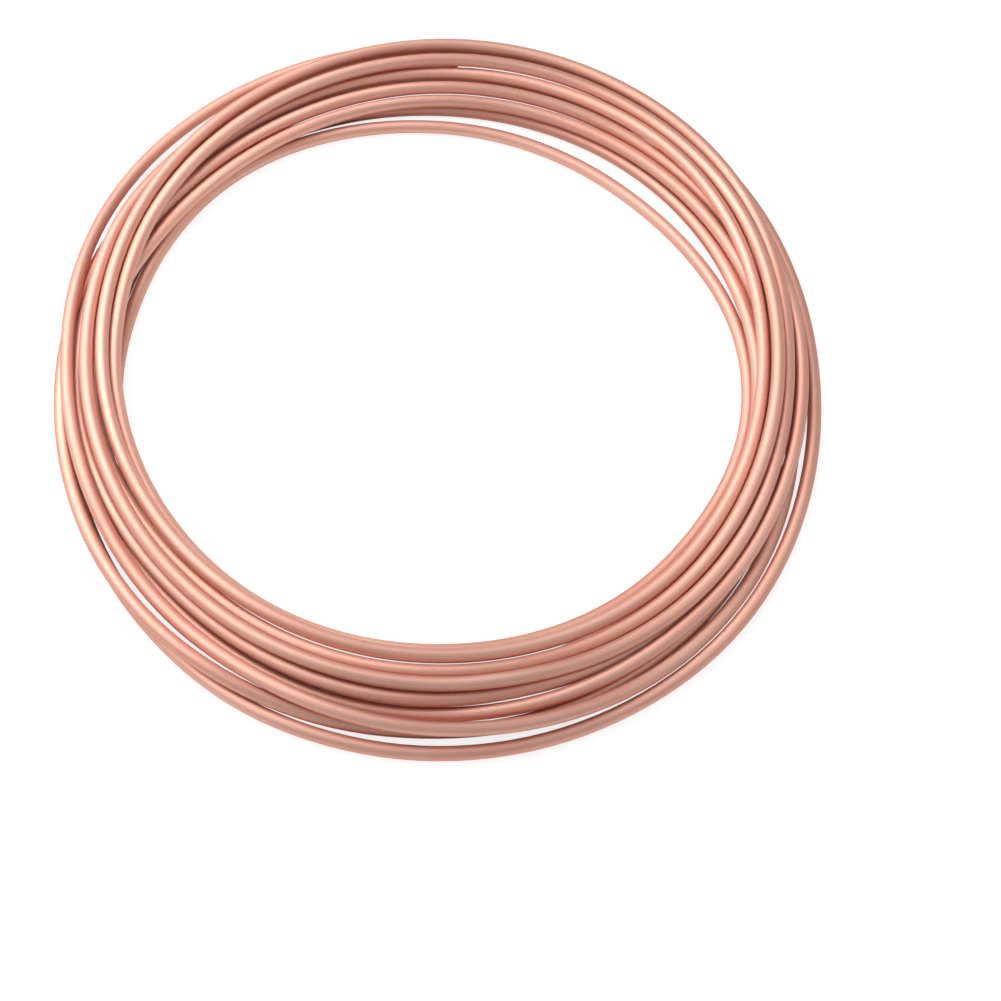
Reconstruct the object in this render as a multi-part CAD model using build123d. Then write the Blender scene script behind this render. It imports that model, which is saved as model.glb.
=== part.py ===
from build123d import *
import copy
import math
import os

# Sizes of the tube, in mm
tube_diameter = 6.35
wall = 0.7
straight_end = 10.0

# Sizes of the coil, in mm
ring_radius = 160.0
turn_clearance = 0.55

# The tube is followed clockwise, seen from above. Its place is given eight times a turn: at the right, front
# right, front, front left, left, back left, back and back right. A place is (across, level): how many tube
# widths the tube's middle lies outside the ring's mean line, and how many above its place on the floor.
places_per_turn = 8
first_place = 7
start_at_back_right = [(0.0, 0.0)]
first_turn = [
    (-1.4, 0.0), (-1.4, 0.0), (-1.1, 0.0), (-1.0, 0.0), (-0.4, 0.0), (0.0, 0.0), (-0.9, 0.0), (-1.2, 0.1)]
inner_loop = [
    (-1.8, 0.9), (-2.4, 0.0), (-2.2, 0.0), (-2.1, 0.0), (-1.4, 0.0), (-1.0, 0.0), (-2.6, 0.0), (-3.4, 0.0)]
third_turn = [
    (-2.2, 0.0), (-3.4, 0.0), (-4.3, 0.0), (-3.5, 0.0), (-1.6, 1.4), (0.7, 2.2), (2.1, 2.2), (1.8, 2.0)]
fourth_turn = [
    (-0.7, 2.8), (-1.6, 1.5), (-2.6, 1.4), (-2.1, 1.1), (-0.2, 1.1), (-1.1, 1.1), (-0.7, 0.9), (-0.7, 1.1)]
fifth_turn = [
    (-0.7, 0.9), (-0.4, 0.0), (-0.4, 0.9), (-0.6, 0.9), (0.9, 0.9), (1.0, 1.1), (1.6, 1.5), (0.9, 1.9)]
top_turn = [
    (-1.6, 1.9), (-2.6, 1.5), (-3.3, 1.4), (-2.8, 1.7), (-0.9, 2.2), (2.0, 2.2), (3.9, 2.0), (3.0, 2.0)]
seventh_turn = [
    (0.1, 1.9), (-0.6, 1.5), (-1.5, 1.7), (-1.2, 1.9), (0.0, 2.3), (2.2, 1.1), (3.9, 0.9), (3.0, 0.8)]
eighth_turn = [
    (1.1, 1.2), (0.2, 0.9), (0.1, 0.0), (0.1, 0.0), (0.6, 0.0), (0.0, 0.9), (-0.1, 1.4), (0.2, 1.0)]
ninth_turn = [
    (0.4, 0.0), (1.4, 0.0), (1.4, 0.9), (0.9, 0.9), (1.6, 2.0), (4.8, 0.0), (5.0, 0.0), (3.9, 0.0)]
loose_outer_loop = [
    (2.3, 0.0), (2.6, 0.0), (2.6, 0.0), (2.1, 0.0), (1.7, 0.0), (1.1, 0.0), (1.9, 0.0), (2.2, 0.0)]
last_turn = [
    (-0.3, 0.0), (0.6, 0.0), (0.9, 0.0), (2.1, 0.9), (2.0, 0.9), (2.4, 0.0), (2.8, 0.0)]
places = (
    start_at_back_right + first_turn + inner_loop + third_turn + fourth_turn + fifth_turn
    + top_turn + seventh_turn + eighth_turn + ninth_turn + loose_outer_loop + last_turn)

# How finely the tube's line is worked out, and how many of its steps one pair of bends spans
steps_per_place = 6
steps_per_bend = 2

steps_per_turn = places_per_turn * steps_per_place
tube_radius = tube_diameter / 2
section = Circle(tube_radius) - Circle(tube_radius - wall)


def smooth_between(before, start, finish, after, part):
    """The value a part of the way from start to finish, curved by the values on either side."""
    leaving = (finish - before) / 2
    arriving = (after - start) / 2
    bend = 3 * (finish - start) - 2 * leaving - arriving
    turn_back = leaving + arriving - 2 * (finish - start)
    return start + leaving * part + bend * part**2 + turn_back * part**3


def line_through(values):
    """One value for every step along the tube, passing through one value for every place."""
    padded = [2 * values[0] - values[1]] + values + [2 * values[-1] - values[-2]]
    line = []
    for place in range(len(values) - 1):
        for step in range(steps_per_place):
            line.append(smooth_between(*padded[place:place + 4], step / steps_per_place))
    return line + [values[-1]]


def spread_apart(reach, height, spacing):
    """Push neighbouring turns away from each other wherever they are closer than the spacing."""
    for first in range(steps_per_turn):
        stack = range(first, len(reach), steps_per_turn)
        for upper in stack:
            for lower in range(first, upper, steps_per_turn):
                out = reach[upper] - reach[lower]
                up = height[upper] - height[lower]
                apart = math.hypot(out, up)
                if apart < spacing:
                    push = (spacing - apart) / 2 / apart
                    reach[upper] += out * push
                    height[upper] += up * push
                    reach[lower] -= out * push
                    height[lower] -= up * push


def ease(line, target):
    """Let each shift away from the target follow its neighbours' and fade a little."""
    smoothing = 0.5
    pull_to_place = 0.02
    shift = [value - wanted for value, wanted in zip(line, target)]
    for step in range(1, len(line) - 1):
        neighbours = (shift[step - 1] + shift[step + 1]) / 2
        eased = shift[step] + smoothing * (neighbours - shift[step])
        line[step] = target[step] + eased * (1 - pull_to_place)


def settled_turns():
    """Reach from the axis and height of the tube's middle at every step, with no turn inside another."""
    rounds = 400
    eased_rounds = 360
    wanted_reach = line_through([ring_radius + across * tube_diameter for across, level in places])
    wanted_height = line_through([tube_radius + level * tube_diameter for across, level in places])
    reach = list(wanted_reach)
    height = list(wanted_height)
    for settling in range(rounds):
        if settling < eased_rounds:
            ease(reach, wanted_reach)
            ease(height, wanted_height)
        spread_apart(reach, height, tube_diameter + turn_clearance)
        height = [max(value, tube_radius) for value in height]
    return reach, height


def tube_line():
    """Points along the middle of the tube, one for every bend, and the way it runs at each of them."""
    reach, height = settled_turns()
    first_step = first_place * steps_per_place
    points = []
    for step, (out, up) in enumerate(zip(reach, height)):
        angle = -2 * math.pi * (first_step + step) / steps_per_turn
        points.append(Vector(out * math.cos(angle), out * math.sin(angle), up))
    headings = []
    for step, point in enumerate(points):
        before = points[max(step - 1, 0)]
        after = points[min(step + 1, len(points) - 1)]
        headings.append((after - before).normalized())
    return points[::steps_per_bend], headings[::steps_per_bend]


def section_at(point, heading, seam_turn):
    """The tube's section, square to the way it runs, with the seam of its walls turned from the level."""
    sideways = Axis.Z.direction.cross(heading)
    return Plane(origin=point, x_dir=sideways, z_dir=heading) * Rot(Z=seam_turn) * section


def bent_walls(start, heading, finish, seam_turn):
    """Outer and inner wall of one bend, an exact arc that leaves start along heading and ends at finish."""
    chord = finish - start
    axis_direction = heading.cross(chord).normalized()
    half_angle = math.acos(heading.dot(chord.normalized()))
    bend_radius = chord.length / 2 / math.sin(half_angle)
    centre = start + axis_direction.cross(heading).normalized() * bend_radius
    start_section = section_at(start, heading, seam_turn)
    bend = revolve(start_section, Axis(centre, axis_direction), math.degrees(2 * half_angle))
    return [face for face in bend.faces() if face.geom_type != GeomType.PLANE]


def walls_between(start, leaving, finish, arriving):
    """Walls of the two bends that join two points and run smoothly into their neighbours.

    Their seams lie a quarter turn apart, so that no two seams end at nearly the same spot.
    """
    span = finish - start
    both = leaving + arriving
    squared = 2 * (1 - leaving.dot(arriving))
    straight = 2 * span.dot(both)
    reach = (-straight + math.sqrt(straight**2 + 4 * squared * span.dot(span))) / (2 * squared)
    first_corner = start + leaving * reach
    second_corner = finish - arriving * reach
    middle = (first_corner + second_corner) * 0.5
    across = (second_corner - first_corner).normalized()
    return bent_walls(start, leaving, middle, 0) + bent_walls(middle, across, finish, 90)


def end_walls(point, outward):
    """Walls and cut rim of one straight open end of the tube."""
    end = extrude(section_at(point, outward, 45), straight_end)
    return [face for face in end.faces() if (face.center() - point).length > tube_radius / 2]


def copper_tube():
    """The whole tube as one hollow solid, lying on the floor with the middle of its outline at the origin."""
    points, headings = tube_line()
    walls = end_walls(points[0], -headings[0]) + end_walls(points[-1], headings[-1])
    for bend in range(len(points) - 1):
        walls += walls_between(points[bend], headings[bend], points[bend + 1], headings[bend + 1])
    tube = Solid(Shell(walls))
    corners, triangles = copy.deepcopy(tube).tessellate(0.01, 0.3)
    middle_x = (min(corner.X for corner in corners) + max(corner.X for corner in corners)) / 2
    middle_y = (min(corner.Y for corner in corners) + max(corner.Y for corner in corners)) / 2
    lowest = min(corner.Z for corner in corners)
    return Pos(-middle_x, -middle_y, -lowest) * tube


os.makedirs("parts", exist_ok=True)
tube = copper_tube()
print("valid", tube.is_valid, "length of tube in m", round(tube.volume / section.area / 1000, 3))
export_step(tube, "parts/copper_tube.step")
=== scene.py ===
import math

import bmesh
import bpy
from mathutils import Matrix, Vector


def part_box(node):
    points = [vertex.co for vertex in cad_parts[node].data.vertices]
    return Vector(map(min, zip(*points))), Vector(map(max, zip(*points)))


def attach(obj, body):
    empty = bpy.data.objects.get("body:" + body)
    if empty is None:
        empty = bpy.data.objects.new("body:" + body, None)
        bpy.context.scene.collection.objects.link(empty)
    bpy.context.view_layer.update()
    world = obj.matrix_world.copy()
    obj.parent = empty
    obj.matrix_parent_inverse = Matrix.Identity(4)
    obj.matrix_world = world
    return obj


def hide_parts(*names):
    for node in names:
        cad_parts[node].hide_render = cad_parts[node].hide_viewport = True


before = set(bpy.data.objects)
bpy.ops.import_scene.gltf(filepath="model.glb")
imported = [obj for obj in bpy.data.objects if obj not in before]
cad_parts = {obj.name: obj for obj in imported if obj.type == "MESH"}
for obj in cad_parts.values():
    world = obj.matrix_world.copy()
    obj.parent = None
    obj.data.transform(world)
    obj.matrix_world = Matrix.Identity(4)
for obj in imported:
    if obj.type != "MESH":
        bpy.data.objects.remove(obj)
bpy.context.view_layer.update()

MM = 0.001

# The tube and its coil, in mm, as in the part's source
tube_diameter = 6.35
wall = 0.7
straight_end = 10.0
ring_radius = 160.0
turn_clearance = 0.55
tube_radius = tube_diameter / 2
bore_radius = tube_radius - wall

# The tube is followed clockwise, seen from above. Its place is given eight times a turn: at the right, front
# right, front, front left, left, back left, back and back right. A place is (across, level): how many tube
# widths the tube's middle lies outside the ring's mean line, and how many above its place on the floor.
places_per_turn = 8
first_place = 7
start_at_back_right = [(0.0, 0.0)]
first_turn = [
    (-1.4, 0.0), (-1.4, 0.0), (-1.1, 0.0), (-1.0, 0.0), (-0.4, 0.0), (0.0, 0.0), (-0.9, 0.0), (-1.2, 0.1)]
inner_loop = [
    (-1.8, 0.9), (-2.4, 0.0), (-2.2, 0.0), (-2.1, 0.0), (-1.4, 0.0), (-1.0, 0.0), (-2.6, 0.0), (-3.4, 0.0)]
third_turn = [
    (-2.2, 0.0), (-3.4, 0.0), (-4.3, 0.0), (-3.5, 0.0), (-1.6, 1.4), (0.7, 2.2), (2.1, 2.2), (1.8, 2.0)]
fourth_turn = [
    (-0.7, 2.8), (-1.6, 1.5), (-2.6, 1.4), (-2.1, 1.1), (-0.2, 1.1), (-1.1, 1.1), (-0.7, 0.9), (-0.7, 1.1)]
fifth_turn = [
    (-0.7, 0.9), (-0.4, 0.0), (-0.4, 0.9), (-0.6, 0.9), (0.9, 0.9), (1.0, 1.1), (1.6, 1.5), (0.9, 1.9)]
top_turn = [
    (-1.6, 1.9), (-2.6, 1.5), (-3.3, 1.4), (-2.8, 1.7), (-0.9, 2.2), (2.0, 2.2), (3.9, 2.0), (3.0, 2.0)]
seventh_turn = [
    (0.1, 1.9), (-0.6, 1.5), (-1.5, 1.7), (-1.2, 1.9), (0.0, 2.3), (2.2, 1.1), (3.9, 0.9), (3.0, 0.8)]
eighth_turn = [
    (1.1, 1.2), (0.2, 0.9), (0.1, 0.0), (0.1, 0.0), (0.6, 0.0), (0.0, 0.9), (-0.1, 1.4), (0.2, 1.0)]
ninth_turn = [
    (0.4, 0.0), (1.4, 0.0), (1.4, 0.9), (0.9, 0.9), (1.6, 2.0), (4.8, 0.0), (5.0, 0.0), (3.9, 0.0)]
loose_outer_loop = [
    (2.3, 0.0), (2.6, 0.0), (2.6, 0.0), (2.1, 0.0), (1.7, 0.0), (1.1, 0.0), (1.9, 0.0), (2.2, 0.0)]
last_turn = [
    (-0.3, 0.0), (0.6, 0.0), (0.9, 0.0), (2.1, 0.9), (2.0, 0.9), (2.4, 0.0), (2.8, 0.0)]
places = (
    start_at_back_right + first_turn + inner_loop + third_turn + fourth_turn + fifth_turn
    + top_turn + seventh_turn + eighth_turn + ninth_turn + loose_outer_loop + last_turn)

# How finely the tube's line is worked out, and how many of its steps one pair of bends spans
steps_per_place = 6
steps_per_bend = 2
steps_per_turn = places_per_turn * steps_per_place

# How the turns settle against each other
settling_rounds = 400
eased_rounds = 360
smoothing = 0.5
pull_to_place = 0.02

# How finely the tube is shown, and how near two of its corners are, in mm, to be one
sides_outside = 28
sides_inside = 14
steps_per_arc = 3
same_corner = 0.001

# Which of the tube's materials its bore and its two cut rims take. Its outside takes the first, 0.
bore_slot = 1
rim_slot = 2

# How deep the marks in the copper are, in mm
grain_depth = 0.006
tool_mark_depth = 0.01

# The floor, in metres, just under the tube, and how brightly the floor and the studio around it shine
floor_width = 12.0
floor_level = -0.0002
contact_shadow_reach = 0.02
floor_lift = 0.8
world_brightness = 0.4


def smooth_between(before, start, finish, after, part):
    """The value a part of the way from start to finish, curved by the values on either side."""
    leaving = (finish - before) / 2
    arriving = (after - start) / 2
    bend = 3 * (finish - start) - 2 * leaving - arriving
    turn_back = leaving + arriving - 2 * (finish - start)
    return start + leaving * part + bend * part**2 + turn_back * part**3


def line_through(values):
    """One value for every step along the tube, passing through one value for every place."""
    padded = [2 * values[0] - values[1]] + values + [2 * values[-1] - values[-2]]
    line = []
    for place in range(len(values) - 1):
        for step in range(steps_per_place):
            line.append(smooth_between(*padded[place:place + 4], step / steps_per_place))
    return line + [values[-1]]


def spread_apart(reach, height, spacing):
    """Push neighbouring turns away from each other wherever they are closer than the spacing."""
    for first in range(steps_per_turn):
        stack = range(first, len(reach), steps_per_turn)
        for upper in stack:
            for lower in range(first, upper, steps_per_turn):
                out = reach[upper] - reach[lower]
                up = height[upper] - height[lower]
                apart = math.hypot(out, up)
                if apart < spacing:
                    push = (spacing - apart) / 2 / apart
                    reach[upper] += out * push
                    height[upper] += up * push
                    reach[lower] -= out * push
                    height[lower] -= up * push


def ease(line, target):
    """Let each shift away from the target follow its neighbours' and fade a little."""
    shift = [value - wanted for value, wanted in zip(line, target)]
    for step in range(1, len(line) - 1):
        neighbours = (shift[step - 1] + shift[step + 1]) / 2
        eased = shift[step] + smoothing * (neighbours - shift[step])
        line[step] = target[step] + eased * (1 - pull_to_place)


def settled_turns():
    """Reach from the axis and height of the tube's middle at every step, with no turn inside another."""
    wanted_reach = line_through([ring_radius + across * tube_diameter for across, level in places])
    wanted_height = line_through([tube_radius + level * tube_diameter for across, level in places])
    reach = list(wanted_reach)
    height = list(wanted_height)
    for settling in range(settling_rounds):
        if settling < eased_rounds:
            ease(reach, wanted_reach)
            ease(height, wanted_height)
        spread_apart(reach, height, tube_diameter + turn_clearance)
        height = [max(value, tube_radius) for value in height]
    return reach, height


def tube_line():
    """Points along the middle of the tube, one for every bend, and the way it runs at each of them."""
    reach, height = settled_turns()
    first_step = first_place * steps_per_place
    points = []
    for step, (out, up) in enumerate(zip(reach, height)):
        angle = -2 * math.pi * (first_step + step) / steps_per_turn
        points.append(Vector((out * math.cos(angle), out * math.sin(angle), up)) * MM)
    headings = []
    for step in range(len(points)):
        before = points[max(step - 1, 0)]
        after = points[min(step + 1, len(points) - 1)]
        headings.append((after - before).normalized())
    return points[::steps_per_bend], headings[::steps_per_bend]


class GrowingTube:
    """A hollow tube that grows along its line, remembering how far along and how far round each point is.

    It is grown in short pieces, because an operator takes longer on a larger mesh.
    """

    def __init__(self, start, heading):
        self.whole = bmesh.new()
        self.whole.verts.layers.float_vector.new("tube_place")
        self.piece = bmesh.new()
        self.place = self.piece.verts.layers.float_vector.new("tube_place")
        self.length = 0.0
        turn = heading.to_track_quat("Z", "X").to_matrix().to_4x4()
        self.loops = []
        for radius, sides in ((tube_radius, sides_outside), (bore_radius, sides_inside)):
            ring = bmesh.ops.create_circle(
                self.piece, cap_ends=False, segments=sides, radius=radius * MM,
                matrix=Matrix.Translation(start) @ turn)["verts"]
            for corner in ring:
                out = turn.inverted() @ (corner.co - start)
                corner[self.place] = (0.0, out.x / MM, out.y / MM)
            self.loops += list({edge for corner in ring for edge in corner.link_edges})

    def grow(self, grown, length):
        """Take the newly made loops as the tube's end, and note how far along they are."""
        self.length += length
        self.loops = [item for item in grown if isinstance(item, bmesh.types.BMEdge)]
        for corner in grown:
            if isinstance(corner, bmesh.types.BMVert):
                corner[self.place] = (self.length, corner[self.place].y, corner[self.place].z)

    def run_straight(self, heading, length):
        grown = bmesh.ops.extrude_edge_only(self.piece, edges=self.loops)["geom"]
        corners = [item for item in grown if isinstance(item, bmesh.types.BMVert)]
        bmesh.ops.translate(self.piece, verts=corners, vec=heading * length)
        self.grow(grown, length)

    def bend_to(self, start, heading, finish):
        """Bend round the exact arc that leaves start along heading and ends at finish."""
        chord = finish - start
        axis = heading.cross(chord).normalized()
        half_angle = heading.angle(chord)
        bend_radius = chord.length / 2 / math.sin(half_angle)
        centre = start + axis.cross(heading).normalized() * bend_radius
        angle = 2 * half_angle / steps_per_arc
        for step in range(steps_per_arc):
            grown = bmesh.ops.spin(
                self.piece, geom=self.loops, cent=centre, axis=axis, angle=angle, steps=1,
                use_merge=False, use_normal_flip=False, use_duplicate=False)["geom_last"]
            self.grow(grown, bend_radius * angle)

    def keep_piece(self):
        """Add the finished piece to the whole tube, and keep only its last loops to grow from."""
        kept = bpy.data.meshes.new("piece")
        self.piece.to_mesh(kept)
        self.whole.from_mesh(kept)
        bpy.data.meshes.remove(kept)
        last = {corner for edge in self.loops for corner in edge.verts}
        done = [corner for corner in self.piece.verts if corner not in last]
        bmesh.ops.delete(self.piece, geom=done, context="VERTS")

    def finished(self):
        """The whole tube, its pieces joined, its bore facing inwards and its two cut rims closed."""
        self.keep_piece()
        self.piece.free()
        whole = self.whole
        place = whole.verts.layers.float_vector["tube_place"]
        bmesh.ops.remove_doubles(whole, verts=whole.verts, dist=same_corner * MM)
        bmesh.ops.recalc_face_normals(whole, faces=whole.faces)
        middle_of_wall = (tube_radius + bore_radius) / 2
        bore = [face for face in whole.faces if face.verts[0][place].yz.length < middle_of_wall]
        bmesh.ops.reverse_faces(whole, faces=bore)
        for face in bore:
            face.material_index = bore_slot
        open_edges = [edge for edge in whole.edges if len(edge.link_faces) == 1]
        for length in (0.0, self.length):
            loops = [edge for edge in open_edges if abs(edge.verts[0][place].x - length) < MM]
            for face in bmesh.ops.bridge_loops(whole, edges=loops)["faces"]:
                face.material_index = rim_slot
        return whole


def copper_tube():
    """The whole tube: a straight end, two bends from each point of its line to the next, a straight end."""
    points, headings = tube_line()
    tube = GrowingTube(points[0] - headings[0] * straight_end * MM, headings[0])
    tube.run_straight(headings[0], straight_end * MM)
    for bend in range(len(points) - 1):
        start, leaving = points[bend], headings[bend]
        finish, arriving = points[bend + 1], headings[bend + 1]
        span = finish - start
        squared = 2 * (1 - leaving.dot(arriving))
        straight = 2 * span.dot(leaving + arriving)
        reach = (-straight + math.sqrt(straight**2 + 4 * squared * span.dot(span))) / (2 * squared)
        first_corner = start + leaving * reach
        second_corner = finish - arriving * reach
        middle = (first_corner + second_corner) * 0.5
        tube.bend_to(start, leaving, middle)
        tube.bend_to(middle, (second_corner - first_corner).normalized(), finish)
        tube.keep_piece()
    tube.run_straight(headings[-1], straight_end * MM)
    return tube.finished()


class Value:
    """A node's output, so that shader maths can be written as plain expressions."""

    def __init__(self, finish, socket):
        self.finish = finish
        self.socket = socket

    def __add__(self, other):
        return self.finish.maths("ADD", self, other)

    def __radd__(self, other):
        return self.finish.maths("ADD", other, self)

    def __mul__(self, other):
        return self.finish.maths("MULTIPLY", self, other)

    def __rmul__(self, other):
        return self.finish.maths("MULTIPLY", other, self)


class Finish:
    """A material made of nodes, with one Principled shader."""

    def __init__(self, name, **constants):
        self.material = bpy.data.materials.new(name)
        self.material.use_nodes = True
        self.tree = self.material.node_tree
        self.shader = self.tree.nodes["Principled BSDF"]
        for socket, value in constants.items():
            self.feed(self.shader, socket.replace("_", " "), value)

    def feed(self, node, socket, value):
        if isinstance(value, Value):
            self.tree.links.new(value.socket, node.inputs[socket])
        else:
            node.inputs[socket].default_value = value

    def node(self, kind, settings, inputs, output=0):
        """Add one node, its settings first, then the values or links of its sockets."""
        made = self.tree.nodes.new(kind)
        for name, value in settings.items():
            setattr(made, name, value)
        for socket, value in inputs.items():
            self.feed(made, socket, value)
        return Value(self, made.outputs[output])

    def maths(self, operation, first, second):
        return self.node("ShaderNodeMath", {"operation": operation}, {0: first, 1: second})

    def place_on_tube(self):
        """How far along the tube a spot is, in metres, and where it lies in the tube's section, in mm."""
        return self.node("ShaderNodeAttribute", {"attribute_name": "tube_place"}, {}, output="Vector")

    def noise(self, place, fineness, detail=2.0, roughness=0.5):
        """A noise that is long one way: how fine it is per metre along the tube, and per mm across it."""
        stretched = self.node("ShaderNodeVectorMath", {"operation": "MULTIPLY"}, {0: place, 1: fineness})
        return self.node(
            "ShaderNodeTexNoise", {"noise_dimensions": "3D"},
            {"Vector": stretched, "Scale": 1.0, "Detail": detail, "Roughness": roughness})

    def between(self, value, low, high):
        """How far the value has come from low to high, from 0 to 1."""
        return self.node(
            "ShaderNodeMapRange", {"clamp": True},
            {"Value": value, "From Min": low, "From Max": high, "To Min": 0.0, "To Max": 1.0})

    def blend(self, factor, first, second):
        return self.node(
            "ShaderNodeMix", {"data_type": "RGBA", "blend_type": "MIX", "clamp_factor": True},
            {0: factor, 6: first, 7: second}, output=2)

    def bump(self, height, distance):
        normal = self.node("ShaderNodeBump", {}, {"Height": height, "Distance": distance, "Strength": 1.0})
        self.feed(self.shader, "Normal", normal)


def drawn_copper():
    """Bright soft copper as it leaves the drawing bench: long faint streaks over a fine matt grain."""
    finish = Finish(
        "drawn_copper", Metallic=1.0, Specular_Tint=(0.1, 0.1, 0.1, 1.0), Anisotropic=0.8,
        Anisotropic_Rotation=0.25)
    place = finish.place_on_tube()
    streaks = finish.noise(place, (9.0, 1.1, 1.1), detail=3.0, roughness=0.6)
    hairlines = finish.noise(place, (60.0, 7.0, 7.0), detail=2.0)
    grain = finish.noise(place, (900.0, 3.4, 3.4), detail=3.0, roughness=0.65)
    clouds = finish.noise(place, (14.0, 0.22, 0.22), detail=2.0)
    pale = (0.96, 0.57, 0.455, 1.0)
    deep = (0.89, 0.435, 0.34, 1.0)
    tone = finish.between(clouds * 0.6 + streaks * 0.4, 0.35, 0.65)
    finish.feed(finish.shader, "Base Color", finish.blend(tone, deep, pale))
    finish.feed(finish.shader, "Roughness", 0.36 + 0.10 * streaks + 0.06 * grain)
    finish.bump(grain * 0.6 + hairlines * 0.4, grain_depth * MM)
    return finish.material


def bore_copper():
    """The darker copper of the bore, streaked by the tool that it was drawn over."""
    finish = Finish("bore_copper", Metallic=1.0)
    streaks = finish.noise(finish.place_on_tube(), (20.0, 2.5, 2.5), detail=3.0)
    deep = (0.45, 0.19, 0.13, 1.0)
    pale = (0.62, 0.29, 0.21, 1.0)
    finish.feed(finish.shader, "Base Color", finish.blend(streaks, deep, pale))
    finish.feed(finish.shader, "Roughness", 0.34 + 0.16 * streaks)
    finish.bump(streaks, tool_mark_depth * MM)
    return finish.material


def cut_copper():
    """The bright rim where the tube was cut off, with the saw's marks."""
    finish = Finish("cut_copper", Metallic=1.0)
    marks = finish.noise(finish.place_on_tube(), (0.0, 9.0, 9.0), detail=2.0)
    deep = (0.90, 0.56, 0.42, 1.0)
    pale = (0.96, 0.66, 0.52, 1.0)
    finish.feed(finish.shader, "Base Color", finish.blend(marks, deep, pale))
    finish.feed(finish.shader, "Roughness", 0.22 + 0.16 * marks)
    finish.bump(marks, tool_mark_depth * MM)
    return finish.material


def placed_in_frame(shape):
    """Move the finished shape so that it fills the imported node's box."""
    low = Vector([min(corner.co[axis] for corner in shape.verts) for axis in range(3)])
    high = Vector([max(corner.co[axis] for corner in shape.verts) for axis in range(3)])
    node_low, node_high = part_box("copper_tube")
    middle = (node_low + node_high) / 2 - (low + high) / 2
    bmesh.ops.translate(shape, verts=shape.verts, vec=middle)
    return middle


shape = copper_tube()
ring_middle = placed_in_frame(shape)
mesh = bpy.data.meshes.new("copper_tube_drawn")
shape.to_mesh(mesh)
shape.free()
for material in (drawn_copper(), bore_copper(), cut_copper()):
    mesh.materials.append(material)
for face in mesh.polygons:
    face.use_smooth = face.material_index != rim_slot
tube = bpy.data.objects.new("copper_tube_drawn", mesh)
bpy.context.scene.collection.objects.link(tube)
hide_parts("copper_tube")
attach(tube, "root")


def pale_floor():
    """White where it is looked at, with the tube's contact shadow in what the metal mirrors of it."""
    black = (0.0, 0.0, 0.0, 1.0)
    white = (1.0, 1.0, 1.0, 1.0)
    grey = (0.35, 0.35, 0.35, 1.0)
    finish = Finish("pale_floor", Base_Color=grey, Roughness=0.9, Emission_Strength=floor_lift)
    looked_at = finish.node("ShaderNodeLightPath", {}, {}, output="Is Camera Ray")
    rays = looked_at.socket.node.outputs
    through_glass = Value(finish, rays["Is Transmission Ray"])
    mirrored = Value(finish, rays["Is Glossy Ray"])
    unshaded = finish.node(
        "ShaderNodeAmbientOcclusion", {"samples": 4}, {"Distance": contact_shadow_reach}, output="AO")
    seen = looked_at + through_glass + mirrored * unshaded
    finish.feed(finish.shader, "Emission Color", finish.blend(seen, black, white))
    return finish.material


floor_shape = bmesh.new()
bmesh.ops.create_grid(floor_shape, x_segments=1, y_segments=1, size=floor_width / 2)
floor_mesh = bpy.data.meshes.new("floor")
floor_shape.to_mesh(floor_mesh)
floor_shape.free()
floor_mesh.materials.append(pale_floor())
floor = bpy.data.objects.new("floor", floor_mesh)
floor.location = (0.0, 0.0, floor_level)
bpy.context.scene.collection.objects.link(floor)


def soft_box(name, place, size, brightness):
    """An evenly bright rectangle of light that looks straight down from its place."""
    lamp = bpy.data.lights.new(name, "AREA")
    lamp.shape = "RECTANGLE"
    lamp.size, lamp.size_y = size
    lamp.energy = brightness * math.pi * size[0] * size[1]
    lit = bpy.data.objects.new(name, lamp)
    lit.location = place
    lit.visible_camera = False
    bpy.context.scene.collection.objects.link(lit)


# The brightest box hangs behind the coil on the left, so that the front and the right stay darker
soft_box("left_soft_box", place=(-0.65, 0.65, 0.9), size=(1.2, 1.1), brightness=2.75)
soft_box("front_left_soft_box", place=(-0.60, -0.15, 0.9), size=(0.5, 0.5), brightness=1.9)
soft_box("right_soft_box", place=(0.55, 0.0, 0.9), size=(0.7, 0.5), brightness=0.7)

world = bpy.data.worlds.new("studio")
bpy.context.scene.world = world
world.use_nodes = True
background = world.node_tree.nodes["Background"]
background.inputs["Color"].default_value = (1.0, 1.0, 1.0, 1.0)
background.inputs["Strength"].default_value = world_brightness

# The camera looks down at the coil from the front. The ring's middle is left of and above the picture's
# middle, so the lens is shifted. Widths and places in the picture, and the focal length, are in pixels.
camera_tilt = math.radians(63.0)
camera_distance = 0.815
camera_target = Vector((0.0, -0.014, 0.010)) + ring_middle
picture_width = 1001.0
picture_middle = picture_width / 2
focal_length = 1777.0
ring_middle_across = 438.0
ring_middle_down = 400.0
lens = bpy.data.cameras.new("camera")
lens.sensor_width = 36.0
lens.lens = focal_length / picture_width * lens.sensor_width
lens.shift_x = (picture_middle - ring_middle_across) / picture_width
lens.shift_y = -(picture_middle - ring_middle_down) / picture_width
lens.clip_start = 0.01
lens.clip_end = 50.0
camera = bpy.data.objects.new("camera", lens)
toward = Vector((0.0, -math.cos(camera_tilt), math.sin(camera_tilt)))
camera.location = camera_target + toward * camera_distance
camera.rotation_mode = "QUATERNION"
camera.rotation_quaternion = (-toward).to_track_quat("-Z", "Y")
bpy.context.scene.collection.objects.link(camera)
bpy.context.scene.camera = camera
bpy.context.scene.view_settings.view_transform = "Standard"
